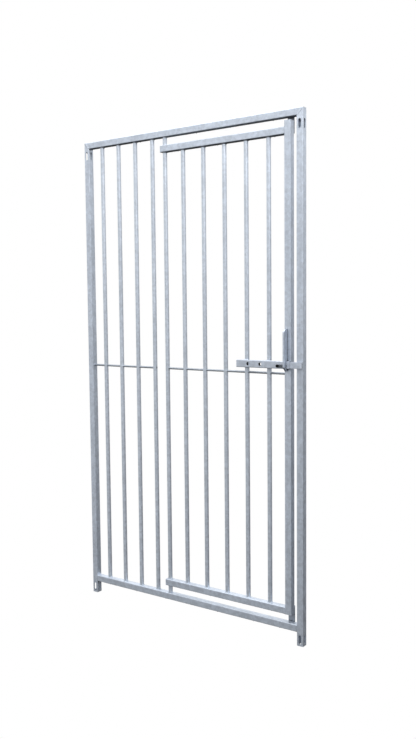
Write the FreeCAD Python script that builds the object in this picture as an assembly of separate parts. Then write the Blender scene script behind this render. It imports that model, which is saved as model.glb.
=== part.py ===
import FreeCAD, Part

import math
import os

# Galvanised kennel panel with a barred door hung in the same frame.
#
# Frame: +Z up, +X to the right seen from the front, the front faces -Y. The origin is
# the bottom centre of the closed panel's outer box. Shapes are drawn about the mid-plane
# of the tubes and shifted back by MIDPLANE_Y when they are saved. All sizes are in mm.

# ---- Outer frame -------------------------------------------------------------------
FRAME_WIDTH = 1000.0
FRAME_HEIGHT = 1840.0
TUBE = 25.0                # side of every square tube
TUBE_WALL = 2.0
TUBE_CORNER = 2.5          # outside corner radius of a square tube
FOOT_HEIGHT = 48.0         # post ends below the bottom rail

# ---- Slots for joining panels, near each end of the posts' front and side faces ------
SLOT_WIDTH = 10.0
SLOT_LENGTH = 32.0
SLOT_FROM_BOTTOM = 23.0    # slot centre above the foot
SLOT_FROM_TOP = 52.0       # slot centre below the top of the post

# ---- Round bars ----------------------------------------------------------------------
BAR_DIAMETER = 16.0
BAR_WALL = 1.5
ROD_DIAMETER = 8.0         # thin rod that runs through the bars
ROD_HOLE_GAP = 0.2         # between the rod and the holes it passes through
ROD_HEIGHT = 950.0
FIXED_BAR_COUNT = 4
FIXED_BAR_FIRST = 61.5     # inner face of the left post to the first bar
FIXED_BAR_PITCH = 85.5

# ---- Door ----------------------------------------------------------------------------
PIVOT_X = -95.7
PIVOT_RUNNING_GAP = 0.1    # between the pivot bar and the holes it turns in
PIVOT_END_GAP = 0.3        # under the foot of the pivot bar
PIVOT_TOP_REACH = 17.0     # how far the pivot bar goes up into the top rail
WELDED_GAP = 0.05          # between the pivot bar and the door rails welded to it
RAIL_GAP_TOP = 30.0        # door top rail to the frame's top rail
RAIL_GAP_BOTTOM = 29.0     # door bottom rail to the frame's bottom rail
RAIL_PAST_PIVOT = 14.5     # door rails beyond the pivot's axis
DOOR_BAR_COUNT = 5
DOOR_BAR_FIRST = 85.0      # pivot axis to the first door bar
DOOR_BAR_PITCH = 92.5
STILE_GAP = 22.4           # lock stile to the right post
STILE_TOP_GAP = 10.0       # lock stile to the frame's top rail

# ---- Stop plates on the back of the lock stile ---------------------------------------
STOP_THICKNESS = 4.0
STOP_EDGE = 0.8            # rounded edge of a plate
STOP_ON_RAIL = 15.0        # how far a plate reaches over the frame's rail
STOP_ON_STILE = 42.0       # how far a plate reaches along the stile
STOP_LOW_ON_STILE = 28.0   # the same for the bottom plate

# ---- Slide latch on the front --------------------------------------------------------
LATCH_HEIGHT = 981.2       # centre line above the foot
HOUSING_LEFT_X = 236.5
HOUSING_TALL = 26.0
HOUSING_DEEP = 12.0
HOUSING_WALL = 1.5
HOUSING_CORNER = 2.0
BOLT_TALL = 22.0
BOLT_DEEP = 8.0
BOLT_TAIL_X = 430.0
BOLT_NOSE_X = 499.0
BOLT_NOSE_BEVEL = 1.5
BOLT_EDGE = 0.6            # rounded long edges of the bolt
HOUSING_HOLE_DIAMETER = 12.0
HOUSING_HOLE_XS = (285.0, 335.0)
HANDLE_SLOT_LEFT_X = 399.0
HANDLE_SLOT_RIGHT_X = 444.0
HANDLE_SLOT_TALL = 11.0
HANDLE_SLOT_DROP = 4.2     # slot centre below the latch's centre line
HANDLE_THICKNESS = 6.0
HANDLE_RIGHT_X = 440.0
HANDLE_FRONT_REACH = 36.5  # front edge of the handle, from the mid-plane
HANDLE_BACK_GAP = 1.0      # back edge of the handle to the stile
HANDLE_TOP_Z = 1105.0
HANDLE_FOOT_Z = 959.6
HANDLE_TOP_RADIUS = 16.0
HANDLE_CHAMFER = 14.5
HANDLE_HOUSING_GAP = 0.6   # handle to the housing that it straddles
HANDLE_ROOT_TALL = 9.0
HANDLE_EDGE = 0.8          # rounded edge of the fin

# ---- Worked-out places ---------------------------------------------------------------
HALF_TUBE = TUBE / 2
HALF_WIDTH = FRAME_WIDTH / 2
POST_INNER_X = HALF_WIDTH - TUBE
BAR_RADIUS = BAR_DIAMETER / 2
MIDPLANE_Y = (HANDLE_FRONT_REACH - HALF_TUBE - STOP_THICKNESS) / 2

BOTTOM_RAIL_TOP = FOOT_HEIGHT + TUBE
TOP_RAIL_BOTTOM = FRAME_HEIGHT - TUBE
DOOR_BOTTOM = BOTTOM_RAIL_TOP + RAIL_GAP_BOTTOM
DOOR_TOP = TOP_RAIL_BOTTOM - RAIL_GAP_TOP
STILE_RIGHT_X = POST_INNER_X - STILE_GAP
STILE_LEFT_X = STILE_RIGHT_X - TUBE
DOOR_RAIL_LEFT_X = PIVOT_X - RAIL_PAST_PIVOT

FIXED_BAR_XS = [-POST_INNER_X + FIXED_BAR_FIRST + i * FIXED_BAR_PITCH for i in range(FIXED_BAR_COUNT)]
DOOR_BAR_XS = [PIVOT_X + DOOR_BAR_FIRST + i * DOOR_BAR_PITCH for i in range(DOOR_BAR_COUNT)]

HOUSING_BACK_Y = -HALF_TUBE
HOUSING_FRONT_Y = HOUSING_BACK_Y - HOUSING_DEEP
HOUSING_MIDDLE_Y = (HOUSING_FRONT_Y + HOUSING_BACK_Y) / 2
BOLT_FRONT_Y = HOUSING_MIDDLE_Y - BOLT_DEEP / 2
HANDLE_SLOT_Z = LATCH_HEIGHT - HANDLE_SLOT_DROP

OVERSHOOT = 1.0            # how far a cutter runs past the face that it opens
SAME_PLACE = 0.01          # two places closer than this are one


def box(x0, x1, y0, y1, z0, z1):
    """Block between two opposite corners."""
    return Part.makeBox(x1 - x0, y1 - y0, z1 - z0, FreeCAD.Vector(x0, y0, z0))


def cylinder(radius, start, axis, length):
    """Round bar or drill from a start point along an axis."""
    return Part.makeCylinder(radius, length, FreeCAD.Vector(*start), FreeCAD.Vector(*axis))


def rounded_block_along_x(x0, x1, depth, height, radius):
    """Block along X with rounded long edges, its section centred on Y 0 and Z 0."""
    block = box(x0, x1, -depth / 2, depth / 2, -height / 2, height / 2)
    long_edges = [edge for edge in block.Edges if abs(edge.BoundBox.XLength - (x1 - x0)) < SAME_PLACE]
    return block.makeFillet(radius, long_edges)


def tube_along_x(x0, x1, depth, height, wall, corner):
    """Tube with rounded corners, lying along X, its section centred on Y 0 and Z 0."""
    outer = rounded_block_along_x(x0, x1, depth, height, corner)
    inner = rounded_block_along_x(x0, x1, depth - 2 * wall, height - 2 * wall, corner - wall)
    return outer.cut(inner)


def square_tube_along_x(x0, x1, z0):
    """Square tube lying along X, with its underside at z0."""
    tube = tube_along_x(x0, x1, TUBE, TUBE, TUBE_WALL, TUBE_CORNER)
    tube.translate(FreeCAD.Vector(0, 0, z0 + HALF_TUBE))
    return tube


def square_tube_along_z(x0, z0, z1):
    """Upright square tube with its left face at x0."""
    tube = tube_along_x(-z1, -z0, TUBE, TUBE, TUBE_WALL, TUBE_CORNER)
    tube.rotate(FreeCAD.Vector(0, 0, 0), FreeCAD.Vector(0, 1, 0), 90)
    tube.translate(FreeCAD.Vector(x0 + HALF_TUBE, 0, 0))
    return tube


def obround(length, width, depth):
    """Slot cutter centred on the origin: long along X, cutting along Y."""
    half = length / 2 - width / 2
    radius = width / 2
    outline = [
        Part.makeLine((-half, 0, -radius), (half, 0, -radius)),
        Part.Arc(FreeCAD.Vector(half, 0, -radius), FreeCAD.Vector(half + radius, 0, 0),
                 FreeCAD.Vector(half, 0, radius)).toShape(),
        Part.makeLine((half, 0, radius), (-half, 0, radius)),
        Part.Arc(FreeCAD.Vector(-half, 0, radius), FreeCAD.Vector(-half - radius, 0, 0),
                 FreeCAD.Vector(-half, 0, -radius)).toShape(),
    ]
    face = Part.Face(Part.Wire(outline))
    cutter = face.extrude(FreeCAD.Vector(0, depth, 0))
    cutter.translate(FreeCAD.Vector(0, -depth / 2, 0))
    return cutter


def mitre_wedge(side, square_corner):
    """Cutter on one side of the frame's 45 degree corner joint (side -1 left, +1 right).

    The joint runs from the outer top corner to the inner one below it; square_corner is
    the (x, z) of the corner of the tube that the cut takes off.
    """
    corners = [(side * HALF_WIDTH, FRAME_HEIGHT), square_corner, (side * POST_INNER_X, TOP_RAIL_BOTTOM)]
    points = [FreeCAD.Vector(x, -TUBE, z) for x, z in corners]
    return Part.Face(Part.makePolygon(points + points[:1])).extrude(FreeCAD.Vector(0, 2 * TUBE, 0))


def post(side):
    """Corner post with a mitred top and slots near both ends of its front and right faces.

    The left post has slots in its left face too, so a bolt goes right through it.
    """
    centre_x = side * (HALF_WIDTH - HALF_TUBE)
    shape = square_tube_along_z(centre_x - HALF_TUBE, 0, FRAME_HEIGHT)
    shape = shape.cut(mitre_wedge(side, (side * POST_INNER_X, FRAME_HEIGHT)))
    slotted_faces = [(0, centre_x, -HALF_TUBE), (90, centre_x + HALF_TUBE, 0)]
    if side < 0:
        slotted_faces.append((90, centre_x - HALF_TUBE, 0))
    for height in (SLOT_FROM_BOTTOM, FRAME_HEIGHT - SLOT_FROM_TOP):
        for turn, face_x, face_y in slotted_faces:
            cutter = obround(SLOT_LENGTH, SLOT_WIDTH, TUBE)
            cutter.rotate(FreeCAD.Vector(0, 0, 0), FreeCAD.Vector(0, 1, 0), 90)
            cutter.rotate(FreeCAD.Vector(0, 0, 0), FreeCAD.Vector(0, 0, 1), turn)
            cutter.translate(FreeCAD.Vector(face_x, face_y, height))
            shape = shape.cut(cutter)
    return shape


def pivot_hole(radius_gap, z0, z1):
    """Drill for the pivot bar between two heights."""
    return cylinder(BAR_RADIUS + radius_gap, (PIVOT_X, 0, z0), (0, 0, 1), z1 - z0)


def top_rail():
    """Frame's top rail, mitred into both posts, drilled underneath for the pivot bar."""
    shape = square_tube_along_x(-HALF_WIDTH, HALF_WIDTH, TOP_RAIL_BOTTOM)
    for side in (-1, 1):
        shape = shape.cut(mitre_wedge(side, (side * HALF_WIDTH, TOP_RAIL_BOTTOM)))
    return shape.cut(pivot_hole(PIVOT_RUNNING_GAP, TOP_RAIL_BOTTOM - OVERSHOOT, TOP_RAIL_BOTTOM + HALF_TUBE))


def bottom_rail():
    """Frame's bottom rail between the posts, drilled on top for the pivot bar."""
    shape = square_tube_along_x(-POST_INNER_X, POST_INNER_X, FOOT_HEIGHT)
    return shape.cut(pivot_hole(PIVOT_RUNNING_GAP, BOTTOM_RAIL_TOP - HALF_TUBE, BOTTOM_RAIL_TOP + OVERSHOOT))


def rod_drill(x0, x1):
    """Drill for the thin cross rod between two places along X."""
    return cylinder(ROD_DIAMETER / 2 + ROD_HOLE_GAP, (x0, 0, ROD_HEIGHT), (1, 0, 0), x1 - x0)


def round_bar(x, z0, z1):
    """Upright round tube, drilled across for the cross rod."""
    outer = cylinder(BAR_RADIUS, (x, 0, z0), (0, 0, 1), z1 - z0)
    bore = cylinder(BAR_RADIUS - BAR_WALL, (x, 0, z0), (0, 0, 1), z1 - z0)
    return outer.cut(bore).cut(rod_drill(x - BAR_DIAMETER, x + BAR_DIAMETER))


def cross_rod(x0, x1):
    """Thin rod through the bars at mid height."""
    return cylinder(ROD_DIAMETER / 2, (x0, 0, ROD_HEIGHT), (1, 0, 0), x1 - x0)


def pivot_bar():
    """Solid bar that the door turns on; its ends stand inside the frame's two rails."""
    foot = FOOT_HEIGHT + TUBE_WALL + PIVOT_END_GAP
    head = TOP_RAIL_BOTTOM + PIVOT_TOP_REACH
    bar = cylinder(BAR_RADIUS, (PIVOT_X, 0, foot), (0, 0, 1), head - foot)
    return bar.cut(rod_drill(PIVOT_X, PIVOT_X + BAR_DIAMETER))


def door_rail(z0):
    """Door's top or bottom rail, with the pivot bar's hole near its left end."""
    shape = square_tube_along_x(DOOR_RAIL_LEFT_X, STILE_LEFT_X, z0)
    return shape.cut(pivot_hole(WELDED_GAP, z0 - OVERSHOOT, z0 + TUBE + OVERSHOOT))


def lock_stile():
    """Upright tube at the door's free edge."""
    return square_tube_along_z(STILE_LEFT_X, DOOR_BOTTOM, TOP_RAIL_BOTTOM - STILE_TOP_GAP)


def stop_plate(z0, z1):
    """Flat welded to the back of the stile; it lands on the back of the frame's rail."""
    plate = box(STILE_LEFT_X, STILE_RIGHT_X, HALF_TUBE, HALF_TUBE + STOP_THICKNESS, z0, z1)
    back_y = HALF_TUBE + STOP_THICKNESS
    back_edges = [edge for edge in plate.Edges if edge.BoundBox.YMin > back_y - SAME_PLACE]
    return plate.makeFillet(STOP_EDGE, back_edges)


def latch_housing():
    """Flat tube that guides the bolt, with the handle's slot in front and two holes right through."""
    shape = tube_along_x(HOUSING_LEFT_X, STILE_RIGHT_X, HOUSING_DEEP, HOUSING_TALL,
                         HOUSING_WALL, HOUSING_CORNER)
    shape.translate(FreeCAD.Vector(0, HOUSING_MIDDLE_Y, LATCH_HEIGHT))
    slot = obround(HANDLE_SLOT_RIGHT_X - HANDLE_SLOT_LEFT_X, HANDLE_SLOT_TALL, HOUSING_DEEP)
    slot_middle_x = (HANDLE_SLOT_LEFT_X + HANDLE_SLOT_RIGHT_X) / 2
    slot.translate(FreeCAD.Vector(slot_middle_x, HOUSING_FRONT_Y, HANDLE_SLOT_Z))
    shape = shape.cut(slot)
    for x in HOUSING_HOLE_XS:
        start = (x, HOUSING_FRONT_Y - OVERSHOOT, LATCH_HEIGHT)
        drill = cylinder(HOUSING_HOLE_DIAMETER / 2, start, (0, 1, 0), HOUSING_DEEP + 2 * OVERSHOOT)
        shape = shape.cut(drill)
    return shape


def slide_bolt():
    """Short flat bar in the end of the housing; its nose lies in front of the right post."""
    shape = box(BOLT_TAIL_X, BOLT_NOSE_X, -BOLT_DEEP / 2, BOLT_DEEP / 2, -BOLT_TALL / 2, BOLT_TALL / 2)
    nose_edges = [edge for edge in shape.Edges if edge.BoundBox.XMin > BOLT_NOSE_X - SAME_PLACE]
    shape = shape.makeChamfer(BOLT_NOSE_BEVEL, nose_edges)
    shape = shape.common(rounded_block_along_x(BOLT_TAIL_X, BOLT_NOSE_X, BOLT_DEEP, BOLT_TALL, BOLT_EDGE))
    shape.translate(FreeCAD.Vector(0, HOUSING_MIDDLE_Y, LATCH_HEIGHT))
    return shape


def bolt_handle():
    """Upright fin, notched over the housing, with a root through the slot onto the bolt."""
    front_y = -HANDLE_FRONT_REACH
    back_y = -HALF_TUBE - HANDLE_BACK_GAP
    arc_z = HANDLE_TOP_Z - HANDLE_TOP_RADIUS
    arc_y = front_y + HANDLE_TOP_RADIUS
    slant = HANDLE_TOP_RADIUS * math.sqrt(0.5)
    left_x = HANDLE_RIGHT_X - HANDLE_THICKNESS

    def at(y, z):
        return FreeCAD.Vector(left_x, y, z)

    arc_start = at(front_y, arc_z)
    arc_end = at(arc_y, HANDLE_TOP_Z)
    arc = Part.Arc(arc_start, at(arc_y - slant, arc_z + slant), arc_end).toShape()
    straight = Part.makePolygon([
        arc_end,
        at(back_y, HANDLE_TOP_Z),
        at(back_y, HANDLE_FOOT_Z),
        at(front_y + HANDLE_CHAMFER, HANDLE_FOOT_Z),
        at(front_y, HANDLE_FOOT_Z + HANDLE_CHAMFER),
        arc_start,
    ])
    fin = Part.Face(Part.Wire([arc] + straight.Edges)).extrude(FreeCAD.Vector(HANDLE_THICKNESS, 0, 0))
    fin = fin.makeFillet(HANDLE_EDGE, [edge for edge in fin.Edges if edge.BoundBox.XLength < SAME_PLACE])
    notch_half = HOUSING_TALL / 2 + HANDLE_HOUSING_GAP
    notch = box(left_x - OVERSHOOT, HANDLE_RIGHT_X + OVERSHOOT, HOUSING_FRONT_Y - HANDLE_HOUSING_GAP, 0,
                LATCH_HEIGHT - notch_half, LATCH_HEIGHT + notch_half)
    root = box(left_x, HANDLE_RIGHT_X, HOUSING_FRONT_Y - HANDLE_HOUSING_GAP, BOLT_FRONT_Y,
               HANDLE_SLOT_Z - HANDLE_ROOT_TALL / 2, HANDLE_SLOT_Z + HANDLE_ROOT_TALL / 2)
    return fin.cut(notch).fuse(root).removeSplitter()


def save(name, shape):
    """Write one closed solid as parts/name.step, in the part's own frame."""
    solids = shape.Solids
    assert len(solids) == 1 and solids[0].isValid(), name
    solid = solids[0].copy()
    solid.translate(FreeCAD.Vector(0, MIDPLANE_Y, 0))
    solid.exportStep("parts/" + name + ".step")
    print(name, "volume", round(solid.Volume))


def save_frame():
    """The parts that stand still."""
    save("post_left", post(-1))
    save("post_right", post(1))
    save("top_rail", top_rail())
    save("bottom_rail", bottom_rail())
    for number, x in enumerate(FIXED_BAR_XS, start=1):
        save("fixed_bar_%d" % number, round_bar(x, BOTTOM_RAIL_TOP, TOP_RAIL_BOTTOM))
    save("fixed_cross_rod", cross_rod(-POST_INNER_X, FIXED_BAR_XS[-1] + BAR_RADIUS))


def save_door():
    """The leaf that turns on the pivot bar."""
    save("pivot_bar", pivot_bar())
    save("door_bottom_rail", door_rail(DOOR_BOTTOM))
    save("door_top_rail", door_rail(DOOR_TOP - TUBE))
    for number, x in enumerate(DOOR_BAR_XS, start=1):
        save("door_bar_%d" % number, round_bar(x, DOOR_BOTTOM + TUBE, DOOR_TOP - TUBE))
    save("door_cross_rod", cross_rod(PIVOT_X, STILE_LEFT_X))
    save("lock_stile", lock_stile())
    stile_top = TOP_RAIL_BOTTOM - STILE_TOP_GAP
    save("stop_plate_top", stop_plate(stile_top - STOP_ON_STILE, TOP_RAIL_BOTTOM + STOP_ON_RAIL))
    save("stop_plate_bottom", stop_plate(BOTTOM_RAIL_TOP - STOP_ON_RAIL, DOOR_BOTTOM + STOP_LOW_ON_STILE))
    save("latch_housing", latch_housing())


def save_latch():
    """The bolt and the handle that slide in the housing."""
    save("slide_bolt", slide_bolt())
    save("bolt_handle", bolt_handle())


os.makedirs("parts", exist_ok=True)
save_frame()
save_door()
save_latch()
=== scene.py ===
import math

import bmesh
import bpy
from mathutils import Matrix, Vector, noise


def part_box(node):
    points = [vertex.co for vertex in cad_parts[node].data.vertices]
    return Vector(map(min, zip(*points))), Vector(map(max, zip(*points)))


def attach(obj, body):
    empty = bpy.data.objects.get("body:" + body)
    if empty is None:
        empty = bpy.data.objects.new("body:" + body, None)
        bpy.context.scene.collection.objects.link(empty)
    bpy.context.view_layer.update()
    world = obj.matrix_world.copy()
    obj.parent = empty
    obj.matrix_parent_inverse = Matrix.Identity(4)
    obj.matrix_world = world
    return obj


# Looks of a galvanised kennel panel with a barred door. The tubes, bars and latch come from
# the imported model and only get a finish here. This script adds what welding and hot-dip
# galvanising leave on them: weld beads, seams, zinc runs. Metres, +Z up, front at -Y.

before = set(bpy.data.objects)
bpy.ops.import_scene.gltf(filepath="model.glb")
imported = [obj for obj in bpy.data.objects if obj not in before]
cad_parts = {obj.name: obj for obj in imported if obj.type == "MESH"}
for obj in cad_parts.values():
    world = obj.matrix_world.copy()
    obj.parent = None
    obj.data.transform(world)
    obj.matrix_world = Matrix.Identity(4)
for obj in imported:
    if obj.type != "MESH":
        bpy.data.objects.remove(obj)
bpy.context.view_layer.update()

MM = 0.001
X_AXIS = Vector((1, 0, 0))
Y_AXIS = Vector((0, 1, 0))
Z_AXIS = Vector((0, 0, 1))

# ---- Welds ---------------------------------------------------------------------------
BEAD = 2.1 * MM            # half width of a fillet bead
SEAM_HALF_WIDTH = 2.3 * MM # half width of the low bead along a seam between two flush faces
SEAM_PROUD = 0.55 * MM     # how far that bead stands off the tubes
ROD_BEAD = 1.3 * MM        # where a cross rod meets its upright
COLLAR_BEAD = 0.9 * MM     # where a cross rod passes a bar
STOP_BEAD_SHARE = 0.8      # beads down the sides of a stop plate, share of BEAD
RIPPLE_PITCH = 1.7 * MM    # one ripple of a bead to the next
RIPPLE_DEPTH = 0.09        # share of the bead's size
WANDER = 0.16              # uneven width of a bead, share of its size
WANDER_SCALE = 260.0
LUMP = 0.10                # small lumps on a bead, share of its size
LUMP_SCALE = 700.0
END_SIZE = 0.35            # size of an open bead at its very end
END_SHARE = 0.12           # share of its length over which it swells to full size
STEP = 0.55 * MM           # distance between two sections of a bead
SECTION_POINTS = 14
TUBE_CORNER = 2.5 * MM
RUN_ROOT = 1.1             # zinc run: size of its root, drop and neck, share of half its width
RUN_DROP = 0.62
RUN_NECK = 0.12

# ---- Zinc ----------------------------------------------------------------------------
CLOUD_STRETCH = 0.28       # scale along a piece: under 1 draws the pattern out
STREAK_STRETCH = 0.05
CLOUD_SCALE = 42.0
PATCH_SCALE = 11.0
BLOTCH_SCALE = 75.0
STREAK_SCALE = 190.0
GRAIN_SCALE = 1400.0
CRYSTAL_SCALE = 105.0
BEND_SCALE = 130.0         # noise that bends the borders of the crystals
BEND_REACH = 6 * MM
PATCH_WEIGHT = 0.6         # how much of the mottle each layer has
BLOTCH_WEIGHT = 0.9
STREAK_WEIGHT = 0.45
CRYSTAL_WEIGHT = 0.6
GRAIN_WEIGHT = 0.25
CLOUD_RANGE = (0.3, 0.7)   # noise values taken as a pattern's darkest and lightest
LAYER_RANGE = (0.25, 0.75)
METALLIC = 0.8
BUMP_STRENGTH = 0.35
# Painted shade: ambient occlusion darkens the zinc's colour in crevices and hollows.
CREVICE_PAINTED_SHADE_REACH = 12 * MM    # how near another surface has to be for painted shade to gather
CREVICE_PAINTED_SHADE_RANGE = (0.25, 0.6)  # openness at full painted shade and at none
CREVICE_PAINTED_SHADE_LEVEL = 0.05
UNDERSIDE_PAINTED_SHADE_RANGE = (-0.85, -0.1)  # upward part of the normal at full painted shade and at none
UNDERSIDE_PAINTED_SHADE_LEVEL = 0.4      # painted shade: undersides are darkened, as light falls from above

# ---- Camera and studio ---------------------------------------------------------------
CAMERA_PLACE = (1.8740, -2.4452, 1.1870)
CAMERA_YAW = 0.6273        # turned from +Y towards -X, radians
CAMERA_PITCH = -0.0774
CAMERA_ROLL = -0.0092
CAMERA_LENS = 40.19
SENSOR_WIDTH = 36.0


# ======================================================================================
# Materials
# ======================================================================================

class Graph:
    """Short way to add and join shader nodes."""

    def __init__(self, tree):
        self.tree = tree
        self.tree.nodes.clear()

    def node(self, kind, inputs=None, **settings):
        made = self.tree.nodes.new(kind)
        for name, value in settings.items():
            setattr(made, name, value)
        for name, value in (inputs or {}).items():
            self.feed(made.inputs[name], value)
        return made

    def feed(self, socket, value):
        """Link an output to a socket, or set the socket to a plain value."""
        if isinstance(value, bpy.types.NodeSocket):
            self.tree.links.new(value, socket)
        else:
            socket.default_value = value

    def math(self, operation, first, second):
        made = self.tree.nodes.new("ShaderNodeMath")
        made.operation = operation
        self.feed(made.inputs[0], first)
        self.feed(made.inputs[1], second)
        return made.outputs[0]

    def span(self, value, low, high, to_low, to_high):
        """Map value from low..high to to_low..to_high, held at both ends."""
        made = self.node("ShaderNodeMapRange", {"Value": value, "From Min": low, "From Max": high,
                                                "To Min": to_low, "To Max": to_high})
        return made.outputs["Result"]

    def noise(self, place, scale, detail, roughness=0.5):
        made = self.node("ShaderNodeTexNoise", {"Vector": place, "Scale": scale, "Detail": detail,
                                                "Roughness": roughness})
        return made.outputs["Fac"]

    def stretched(self, place, scale):
        return self.node("ShaderNodeMapping", {"Vector": place, "Scale": scale}).outputs["Vector"]


def zinc(name, along, tone, roughness, mottle, relief, painted_shade_reach=CREVICE_PAINTED_SHADE_REACH):
    """Hot-dip galvanised steel: spangle, clouds, streaks along the piece and a fine skin, with
    painted shade in crevices and on undersides.
    """
    material = bpy.data.materials.new(name)
    material.use_nodes = True
    graph = Graph(material.node_tree)
    coordinates = graph.node("ShaderNodeTexCoord")
    place = coordinates.outputs["Object"]
    lengthwise = [CLOUD_STRETCH if axis == along else 1.0 for axis in range(3)]
    streaky = [STREAK_STRETCH if axis == along else 1.0 for axis in range(3)]
    cloud_place = graph.stretched(place, lengthwise)

    clouds = graph.noise(cloud_place, CLOUD_SCALE, 4.0, 0.55)
    patches = graph.noise(cloud_place, PATCH_SCALE, 2.0)
    blotches = graph.noise(place, BLOTCH_SCALE, 3.0, 0.6)
    streaks = graph.noise(graph.stretched(place, streaky), STREAK_SCALE, 3.0)
    grain = graph.noise(place, GRAIN_SCALE, 2.0)

    bent = graph.node("ShaderNodeTexNoise", {"Vector": place, "Scale": BEND_SCALE, "Detail": 2.0})
    pushed = graph.node("ShaderNodeVectorMath", {0: bent.outputs["Color"], 1: (BEND_REACH,) * 3},
                        operation="MULTIPLY")
    spangle_place = graph.node("ShaderNodeVectorMath", {0: pushed.outputs[0], 1: place},
                               operation="ADD")
    spangle = graph.node("ShaderNodeTexVoronoi", {"Vector": spangle_place.outputs[0],
                                                  "Scale": CRYSTAL_SCALE, "Randomness": 1.0})
    split = graph.node("ShaderNodeSeparateColor", {"Color": spangle.outputs["Color"]})
    crystal = split.outputs["Red"]

    brightness = graph.span(clouds, *CLOUD_RANGE, 1.0 - mottle, 1.0 + mottle)
    for layer, weight in ((patches, PATCH_WEIGHT), (blotches, BLOTCH_WEIGHT),
                          (streaks, STREAK_WEIGHT), (crystal, CRYSTAL_WEIGHT),
                          (grain, GRAIN_WEIGHT)):
        swing = mottle * weight
        share = graph.span(layer, *LAYER_RANGE, 1.0 - swing, 1.0 + swing)
        brightness = graph.math("MULTIPLY", brightness, share)
    # Painted shade: ambient occlusion darkens the colour where other surfaces are near.
    occlusion = graph.node("ShaderNodeAmbientOcclusion", {"Distance": painted_shade_reach}, samples=8)
    share = graph.span(occlusion.outputs["AO"], *CREVICE_PAINTED_SHADE_RANGE, CREVICE_PAINTED_SHADE_LEVEL, 1.0)
    brightness = graph.math("MULTIPLY", brightness, share)
    # Painted shade: faces that point down are darkened.
    normal = graph.node("ShaderNodeSeparateXYZ", {"Vector": coordinates.outputs["Normal"]})
    share = graph.span(normal.outputs["Z"], *UNDERSIDE_PAINTED_SHADE_RANGE, UNDERSIDE_PAINTED_SHADE_LEVEL, 1.0)
    brightness = graph.math("MULTIPLY", brightness, share)
    colour = graph.node("ShaderNodeVectorMath", {0: tone, "Scale": brightness}, operation="SCALE")

    dullness = graph.span(clouds, *CLOUD_RANGE, roughness + 0.07, roughness - 0.05)
    dullness = graph.math("ADD", dullness, graph.span(crystal, 0.0, 1.0, -0.04, 0.04))

    skin = clouds
    for layer, height in ((streaks, 0.25), (blotches, 0.5), (grain, 0.06)):
        skin = graph.math("ADD", skin, graph.math("MULTIPLY", layer, height))
    bump = graph.node("ShaderNodeBump", {"Height": skin, "Strength": BUMP_STRENGTH,
                                         "Distance": relief})

    shader = graph.node("ShaderNodeBsdfPrincipled", {
        "Base Color": colour.outputs[0],
        "Roughness": dullness,
        "Normal": bump.outputs["Normal"],
    })
    shader.inputs["Metallic"].default_value = METALLIC
    output = graph.node("ShaderNodeOutputMaterial")
    graph.feed(output.inputs["Surface"], shader.outputs[0])
    return material


FINISHES = {
    "galvanised_tube": {"tone": (0.60, 0.66, 0.75), "roughness": 0.46,
                        "mottle": 0.085, "relief": 0.8 * MM},
    "galvanised_round": {"tone": (0.64, 0.70, 0.785), "roughness": 0.42,
                         "mottle": 0.08, "relief": 0.6 * MM},
    "galvanised_flat": {"tone": (0.60, 0.655, 0.745), "roughness": 0.48,
                        "mottle": 0.09, "relief": 0.7 * MM},
}
WELD_FINISH = {"tone": (0.58, 0.64, 0.725), "roughness": 0.5, "mottle": 0.10, "relief": 0.5 * MM}

# Changes to a finish for nodes with these words in their names: a share of the tone, or how
# near another surface has to be for painted shade to gather.
CHANGES = {
    # Painted shade: the stop plates are darkened because they sit in shade behind the stile.
    "stop_plate": {"share": 0.55},
    "rod": {"share": 0.62},
    # A short reach keeps painted shade out of the posts' insides.
    "post_": {"painted_shade_reach": 5 * MM},
    # A long reach paints deep shade inside the latch housing's slot and holes.
    "latch_housing": {"painted_shade_reach": 45 * MM},
}


def altered(finish, share=1.0, painted_shade_reach=CREVICE_PAINTED_SHADE_REACH):
    """Copy of a finish with a darker tone, which is painted shade on the stop plates, or another
    reach for the painted shade in crevices.
    """
    changed = dict(finish)
    changed["tone"] = tuple(share * level for level in finish["tone"])
    changed["painted_shade_reach"] = painted_shade_reach
    return changed


def finish_cad_nodes():
    """Give every tube, bar and plate its zinc, with the streaks running along its length."""
    made = {}
    for name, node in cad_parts.items():
        slot_name = node.data.materials[0].name.split(".")[0]
        low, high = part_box(name)
        size = high - low
        along = max(range(3), key=lambda axis: size[axis])
        finish = FINISHES[slot_name]
        key = "%s_%s" % (slot_name, "xyz"[along])
        for word, change in CHANGES.items():
            if word in name:
                finish = altered(finish, **change)
                key = "%s_%s" % (key, word.strip("_"))
        if key not in made:
            made[key] = zinc(key, along, **finish)
        for material_slot in node.material_slots:
            material_slot.material = made[key]


# ======================================================================================
# Weld beads and zinc runs
# ======================================================================================

def uneven(point, scale, seed):
    """Smooth repeatable value from -1 to 1 that changes along a bead."""
    return noise.noise(point * scale + Vector((seed, 1.7 * seed, 0.3 * seed)))


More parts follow.
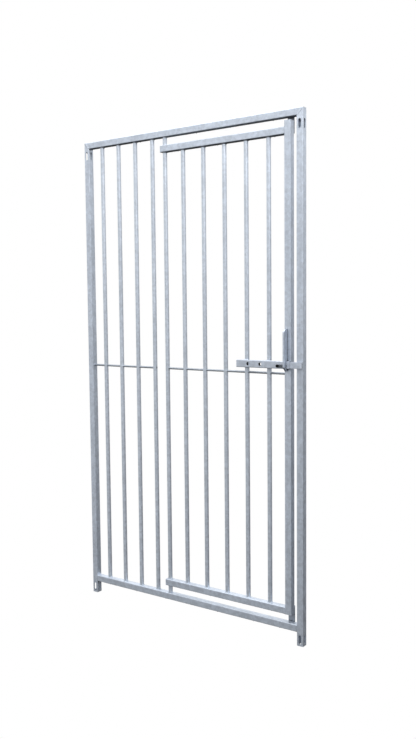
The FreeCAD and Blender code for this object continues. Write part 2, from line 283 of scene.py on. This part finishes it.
def add_bead(mesh, path, closed, seed):
    """Skin a bead over a path of (centre, first axis, second axis, half width, half height)."""
    rings = []
    travelled = 0.0
    for index, (centre, first, second, half_width, half_height) in enumerate(path):
        if index:
            travelled += (centre - path[index - 1][0]).length
        ripple = 1.0 + RIPPLE_DEPTH * math.sin(2 * math.pi * travelled / RIPPLE_PITCH)
        size = ripple * (1.0 + WANDER * uneven(centre, WANDER_SCALE, seed))
        ring = []
        for turn in range(SECTION_POINTS):
            angle = 2 * math.pi * turn / SECTION_POINTS
            offset = (first * (half_width * math.cos(angle))
                      + second * (half_height * math.sin(angle)))
            lump = 1.0 + LUMP * uneven(centre + offset, LUMP_SCALE, seed + 5)
            ring.append(mesh.verts.new(centre + offset * size * lump))
        rings.append(ring)
    pairs = list(zip(rings, rings[1:]))
    if closed:
        pairs.append((rings[-1], rings[0]))
    for ring, following in pairs:
        for turn in range(SECTION_POINTS):
            other = (turn + 1) % SECTION_POINTS
            mesh.faces.new((ring[turn], ring[other], following[other], following[turn]))
    if not closed:
        mesh.faces.new(rings[0])
        mesh.faces.new(rings[-1])


def add_ring_bead(mesh, centre, axis, radius, bead, seed):
    """Fillet bead around a round bar where it meets a face; axis points away from the face."""
    across = axis.orthogonal().normalized()
    count = max(24, round(2 * math.pi * radius / STEP))
    path = []
    for index in range(count):
        outward = Matrix.Rotation(2 * math.pi * index / count, 3, axis) @ across
        path.append((centre + outward * radius, outward, axis, bead, bead))
    add_bead(mesh, path, True, seed)


def taper(share):
    """Rounded ends of an open bead: END_SIZE at both ends, 1 over most of its length."""
    edge = min(share, 1.0 - share) / END_SHARE
    return END_SIZE + (1.0 - END_SIZE) * math.sqrt(1.0 - (1.0 - min(edge, 1.0)) ** 2)


def add_straight_bead(mesh, start, end, first, second, half_width, half_height, seed):
    """Bead from start to end; first and second are the directions across it."""
    count = max(6, round((end - start).length / STEP))
    path = []
    for index in range(count + 1):
        share = index / count
        swell = taper(share)
        path.append((start.lerp(end, share), first, second,
                     half_width * swell, half_height * swell))
    add_bead(mesh, path, False, seed)


def add_arc_bead(mesh, centre, radius, start_angle, end_angle, bead, seed):
    """Level bead on part of a circle about a vertical bar, angles from +X in degrees."""
    length = radius * math.radians(end_angle - start_angle)
    count = max(6, round(length / STEP))
    path = []
    for index in range(count + 1):
        share = index / count
        angle = math.radians(start_angle + (end_angle - start_angle) * share)
        outward = Vector((math.cos(angle), math.sin(angle), 0))
        swell = bead * taper(share)
        path.append((centre + outward * radius, outward, Z_AXIS, swell, swell))
    add_bead(mesh, path, False, seed)


def add_run(mesh, top, width, length, outward, seed):
    """Zinc run: a wide root under the tube that narrows into a short neck and a round drop."""
    across = Z_AXIS.cross(outward)
    count = max(8, round(length / STEP))
    path = []
    for index in range(count + 1):
        share = index / count
        root = RUN_ROOT * (1.0 - share) ** 3
        drop = RUN_DROP * math.sqrt(max(0.0, 1.0 - share ** 5))
        bulb = max(RUN_NECK, root + drop)
        centre = top - Z_AXIS * (length * share)
        path.append((centre, across, outward, width / 2 * bulb, width / 2.6 * bulb))
    add_bead(mesh, path, False, seed)


def finish_piece(name, mesh, body, material):
    """Turn a bmesh into a named piece that rides on a body."""
    bmesh.ops.recalc_face_normals(mesh, faces=mesh.faces)
    data = bpy.data.meshes.new(name)
    mesh.to_mesh(data)
    mesh.free()
    for polygon in data.polygons:
        polygon.use_smooth = True
    data.materials.append(material)
    piece = bpy.data.objects.new(name, data)
    bpy.context.scene.collection.objects.link(piece)
    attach(piece, body)


def middle(node):
    low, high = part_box(node)
    return (low + high) / 2


def bar_ends(node):
    """Where a bar meets its rails: (point, direction away from the rail) for both ends."""
    low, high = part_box(node)
    centre = middle(node)
    foot = Vector((centre.x, centre.y, low.z))
    head = Vector((centre.x, centre.y, high.z))
    return [(foot, Z_AXIS), (head, -Z_AXIS)]


def weld_bars(name, bars, body, material):
    """Ring beads at both ends of a row of bars."""
    mesh = bmesh.new()
    for index, bar in enumerate(bars):
        low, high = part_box(bar)
        radius = (high.x - low.x) / 2
        for point, away in bar_ends(bar):
            add_ring_bead(mesh, point, away, radius, BEAD, index + 9.0 * away.z)
    finish_piece(name, mesh, body, material)


def weld_rail_end(mesh, rail, at_x, side, seed):
    """Beads all round the end of a level rail that butts against an upright at at_x.

    side is +1 where the upright stands on the rail's right and -1 on its left.
    """
    low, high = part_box(rail)
    near, far = low.y + TUBE_CORNER, high.y - TUBE_CORNER
    for level, up in ((low.z, -Z_AXIS), (high.z, Z_AXIS)):
        add_straight_bead(mesh, Vector((at_x, near, level)), Vector((at_x, far, level)),
                          -side * X_AXIS, up, BEAD, BEAD, seed)
    for depth in (low.y, high.y):
        add_straight_bead(mesh, Vector((at_x, depth, low.z + TUBE_CORNER)),
                          Vector((at_x, depth, high.z - TUBE_CORNER)),
                          X_AXIS, Y_AXIS, SEAM_HALF_WIDTH, SEAM_PROUD, seed + 2)


def weld_frame(material):
    """Frame's four corners: bottom rail butted to the posts, top rail mitred to them."""
    mesh = bmesh.new()
    low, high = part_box("bottom_rail")
    weld_rail_end(mesh, "bottom_rail", low.x, -1, 11)
    weld_rail_end(mesh, "bottom_rail", high.x, 1, 12)
    low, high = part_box("top_rail")
    tube = high.z - low.z
    for side, outer_x in ((-1, low.x), (1, high.x)):
        inner = Vector((outer_x - side * tube, 0, low.z))
        outer = Vector((outer_x, 0, high.z))
        along = (outer - inner).normalized()
        across = along.cross(Y_AXIS)
        for depth in (low.y, high.y):
            start = inner + along * BEAD + Y_AXIS * depth
            end = outer - along * BEAD + Y_AXIS * depth
            add_straight_bead(mesh, start, end, across, Y_AXIS,
                              SEAM_HALF_WIDTH, SEAM_PROUD, 20 + side)
        start = inner + Y_AXIS * (low.y + TUBE_CORNER)
        end = inner + Y_AXIS * (high.y - TUBE_CORNER)
        add_straight_bead(mesh, start, end, -side * X_AXIS, -Z_AXIS, BEAD, BEAD, 30 + side)
    finish_piece("weld_frame_corners", mesh, "frame", material)


def weld_door_rails(material):
    """Door rails butted to the lock stile."""
    mesh = bmesh.new()
    stile_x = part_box("lock_stile")[0].x
    weld_rail_end(mesh, "door_bottom_rail", stile_x, 1, 41)
    weld_rail_end(mesh, "door_top_rail", stile_x, 1, 44)
    finish_piece("weld_door_corners", mesh, "door", material)


def weld_pivot(material):
    """Beads around the pivot bar above and below each door rail."""
    mesh = bmesh.new()
    centre = middle("pivot_bar")
    low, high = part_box("pivot_bar")
    radius = (high.x - low.x) / 2
    for rail in ("door_bottom_rail", "door_top_rail"):
        rail_low, rail_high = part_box(rail)
        for level, up in ((rail_low.z, -Z_AXIS), (rail_high.z, Z_AXIS)):
            add_ring_bead(mesh, Vector((centre.x, centre.y, level)), up, radius, BEAD, 50 * level)
    finish_piece("weld_pivot", mesh, "door", material)


def weld_rod(name, rod, bars, end_x, body, material):
    """Small beads where a cross rod meets its upright, and collars where it passes the bars."""
    mesh = bmesh.new()
    centre = middle(rod)
    low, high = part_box(rod)
    radius = (high.z - low.z) / 2
    away = X_AXIS if end_x < centre.x else -X_AXIS
    add_ring_bead(mesh, Vector((end_x, centre.y, centre.z)), away, radius, ROD_BEAD, 60)
    for index, bar in enumerate(bars):
        bar_low, bar_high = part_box(bar)
        for side_x, outward in ((bar_low.x, -X_AXIS), (bar_high.x, X_AXIS)):
            if low.x < side_x < high.x:
                point = Vector((side_x - 0.3 * radius * outward.x, centre.y, centre.z))
                add_ring_bead(mesh, point, outward, radius, COLLAR_BEAD, index)
    finish_piece(name, mesh, body, material)


def weld_stop_plates(material):
    """Beads down both sides and across the inner end of each stop plate."""
    mesh = bmesh.new()
    stile_low, stile_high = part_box("lock_stile")
    back = stile_high.y
    for plate, seed in (("stop_plate_top", 70), ("stop_plate_bottom", 75)):
        low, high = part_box(plate)
        start_z = max(low.z, stile_low.z)
        end_z = min(high.z, stile_high.z)
        for edge_x, outward in ((low.x, -X_AXIS), (high.x, X_AXIS)):
            inset = edge_x - outward.x * 0.6 * MM
            add_straight_bead(mesh, Vector((inset, back, start_z + BEAD)),
                              Vector((inset, back, end_z - BEAD)), outward, Y_AXIS,
                              STOP_BEAD_SHARE * BEAD, STOP_BEAD_SHARE * BEAD, seed)
        inner_z, away = (low.z, -Z_AXIS) if plate == "stop_plate_top" else (high.z, Z_AXIS)
        add_straight_bead(mesh, Vector((low.x + TUBE_CORNER, back, inner_z)),
                          Vector((high.x - TUBE_CORNER, back, inner_z)),
                          away, Y_AXIS, BEAD, BEAD, seed + 2)
    finish_piece("weld_stop_plates", mesh, "door", material)


def weld_housing(material):
    """Puddles between the latch housing and the two bars behind it, beads along the stile."""
    mesh = bmesh.new()
    low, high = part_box("latch_housing")
    for bar, puddle in (("door_bar_4", 3.3 * MM), ("door_bar_5", 2.5 * MM)):
        bar_low, bar_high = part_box(bar)
        radius = (bar_high.x - bar_low.x) / 2
        centre = middle(bar)
        reach = (bar_low.y - high.y) / 2
        for level, sink in ((high.z, -0.4), (low.z, 0.6)):
            point = Vector((centre.x, centre.y, level + sink * puddle))
            add_arc_bead(mesh, point, radius + reach, 215, 325, puddle, 80 + 10 * level)
    stile_low, stile_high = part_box("lock_stile")
    for level, up in ((low.z, -Z_AXIS), (high.z, Z_AXIS)):
        start = Vector((stile_low.x + TUBE_CORNER, high.y, level - 0.5 * MM * up.z))
        end = Vector((stile_high.x - TUBE_CORNER, high.y, level - 0.5 * MM * up.z))
        add_straight_bead(mesh, start, end, up, -Y_AXIS, BEAD, BEAD, 90)
    finish_piece("weld_latch_housing", mesh, "door", material)


def run_spots(node, count, face, seed):
    """Repeatable places along the lower front or back edge of a level tube."""
    low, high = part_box(node)
    spots = []
    for index in range(count):
        share = (index + 0.5 + 0.42 * uneven(Vector((index, seed, 0.5)), 3.1, seed)) / count
        depth = low.y + TUBE_CORNER if face < 0 else high.y - TUBE_CORNER
        spots.append(Vector((low.x + (high.x - low.x) * share, depth, low.z + 0.4 * MM)))
    return spots


def zinc_runs(name, body, rails, material):
    """Frozen zinc drips along the undersides of level tubes."""
    mesh = bmesh.new()
    for seed, (rail, count) in enumerate(rails):
        for face in (-1, 1):
            for index, spot in enumerate(run_spots(rail, count, face, seed + face)):
                length = (2.0 + 1.6 * abs(uneven(spot, 40.0, seed))) * MM
                width = (2.4 + 1.2 * abs(uneven(spot, 55.0, index))) * MM
                add_run(mesh, spot, width, length, Y_AXIS * face, seed + index)
    finish_piece(name, mesh, body, material)


def add_welds():
    material = zinc("galvanised_weld", 2, **WELD_FINISH)
    # Painted shade: the welds on the stop plates are darkened like the plates.
    stop_weld_painted_shade_material = zinc("galvanised_weld_dull", 2, **altered(WELD_FINISH, **CHANGES["stop_plate"]))
    fixed_bars = ["fixed_bar_%d" % number for number in range(1, 5)]
    door_bars = ["door_bar_%d" % number for number in range(1, 6)]
    weld_bars("weld_fixed_bars", fixed_bars, "frame", material)
    weld_bars("weld_door_bars", door_bars, "door", material)
    weld_frame(material)
    weld_door_rails(material)
    weld_pivot(material)
    weld_rod("weld_fixed_rod", "fixed_cross_rod", fixed_bars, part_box("post_left")[1].x,
             "frame", material)
    weld_rod("weld_door_rod", "door_cross_rod", door_bars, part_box("lock_stile")[0].x,
             "door", material)
    weld_stop_plates(stop_weld_painted_shade_material)
    weld_housing(material)
    zinc_runs("zinc_runs_frame", "frame", [("bottom_rail", 7), ("top_rail", 5)], material)
    zinc_runs("zinc_runs_door", "door", [("door_bottom_rail", 4), ("door_top_rail", 3)], material)


# ======================================================================================
# Studio
# ======================================================================================

def add_camera():
    data = bpy.data.cameras.new("camera")
    data.sensor_width = SENSOR_WIDTH
    data.lens = CAMERA_LENS
    camera = bpy.data.objects.new("camera", data)
    turn = (Matrix.Rotation(CAMERA_YAW, 4, "Z")
            @ Matrix.Rotation(math.pi / 2 + CAMERA_PITCH, 4, "X")
            @ Matrix.Rotation(CAMERA_ROLL, 4, "Z"))
    camera.matrix_world = Matrix.Translation(CAMERA_PLACE) @ turn
    bpy.context.scene.collection.objects.link(camera)
    bpy.context.scene.camera = camera


def add_stage():
    """White floor that curves up into a wall all round. It glows evenly and lights nothing."""
    floor_radius = 14.0
    cove_radius = 3.0
    wall_top = 14.0
    segments = 96
    cove_steps = 12
    profile = [(0.02, 0.0), (floor_radius - cove_radius, 0.0)]
    for step in range(1, cove_steps + 1):
        angle = math.pi / 2 * step / cove_steps
        profile.append((floor_radius - cove_radius + cove_radius * math.sin(angle),
                        cove_radius - cove_radius * math.cos(angle)))
    profile.append((floor_radius, wall_top))
    mesh = bmesh.new()
    rings = []
    for radius, height in profile:
        ring = []
        for turn in range(segments):
            angle = 2 * math.pi * turn / segments
            place = (radius * math.cos(angle), radius * math.sin(angle), height)
            ring.append(mesh.verts.new(place))
        rings.append(ring)
    for inner, outer in zip(rings, rings[1:]):
        for turn in range(segments):
            other = (turn + 1) % segments
            mesh.faces.new((inner[turn], inner[other], outer[other], outer[turn]))
    mesh.faces.new(rings[0])
    data = bpy.data.meshes.new("studio_cove")
    mesh.to_mesh(data)
    mesh.free()
    cove = bpy.data.objects.new("studio_cove", data)
    bpy.context.scene.collection.objects.link(cove)
    cove.visible_diffuse = False
    cove.visible_glossy = False
    cove.visible_shadow = False
    material = bpy.data.materials.new("studio_white")
    material.use_nodes = True
    graph = Graph(material.node_tree)
    glow = graph.node("ShaderNodeEmission", {"Color": (1.0, 1.0, 1.0, 1.0), "Strength": 1.0})
    output = graph.node("ShaderNodeOutputMaterial")
    graph.feed(output.inputs["Surface"], glow.outputs[0])
    data.materials.append(material)


# Brightness of the surroundings from straight down (0) over the horizon (0.5) to straight up (1).
FRONT_LEVELS = [(0.0, 0.02), (0.25, 0.10), (0.38, 0.50), (0.46, 0.58),
                (0.52, 0.72), (0.60, 0.97), (0.70, 1.08), (1.0, 1.35)]
BACK_LEVELS = [(0.0, 0.01), (0.30, 0.03), (0.42, 0.10), (0.50, 0.40),
               (0.58, 0.98), (0.70, 1.15), (1.0, 1.4)]
FRONT_DIRECTION = (-0.35, -0.94, 0.0)
FRONT_FADE = 0.35          # how far to each side of square-on the front gives way to the back


def height_levels(graph, height, levels):
    """Brightness by height as a colour ramp."""
    ramp = graph.node("ShaderNodeValToRGB", {"Fac": graph.span(height, -1.0, 1.0, 0.0, 1.0)})
    elements = ramp.color_ramp.elements
    while len(elements) < len(levels):
        elements.new(0.5)
    for element, (place, level) in zip(elements, levels):
        element.position = place
        element.color = (level, level, level, 1.0)
    return ramp.outputs["Color"]


def add_surroundings():
    """Soft light from all sides: pale above, dark below, and darker low down at the back."""
    world = bpy.data.worlds.new("studio")
    world.use_nodes = True
    bpy.context.scene.world = world
    graph = Graph(world.node_tree)
    direction = graph.node("ShaderNodeTexCoord").outputs["Generated"]
    height = graph.node("ShaderNodeSeparateXYZ", {"Vector": direction}).outputs["Z"]
    facing = graph.node("ShaderNodeVectorMath", {0: direction, 1: FRONT_DIRECTION},
                        operation="DOT_PRODUCT")
    frontness = graph.span(facing.outputs["Value"], -FRONT_FADE, FRONT_FADE, 0.0, 1.0)
    front = height_levels(graph, height, FRONT_LEVELS)
    back = height_levels(graph, height, BACK_LEVELS)
    mixed = graph.node("ShaderNodeMix", {"Factor": frontness, "A": back, "B": front})
    background = graph.node("ShaderNodeBackground", {
        "Color": (1.0, 1.0, 1.0, 1.0),
        "Strength": mixed.outputs["Result"],
    })
    output = graph.node("ShaderNodeOutputWorld")
    graph.feed(output.inputs["Surface"], background.outputs[0])


def add_soft_light(name, place, target, size, power):
    data = bpy.data.lights.new(name, "AREA")
    data.shape = "RECTANGLE"
    data.size, data.size_y = size
    data.energy = power
    light = bpy.data.objects.new(name, data)
    light.location = place
    light.rotation_euler = (Vector(target) - Vector(place)).to_track_quat("-Z", "Y").to_euler()
    bpy.context.scene.collection.objects.link(light)


def add_lights():
    add_soft_light("overhead", place=(-0.3, -0.6, 3.6), target=(0.0, 0.0, 0.9),
                   size=(3.0, 2.0), power=40.0)
    add_soft_light("front_right", place=(2.6, -1.4, 2.8), target=(0.0, 0.0, 1.2),
                   size=(2.0, 2.0), power=18.0)


add_camera()
finish_cad_nodes()
add_welds()
add_stage()
add_surroundings()
add_lights()
bpy.context.scene.view_settings.view_transform = "Standard"
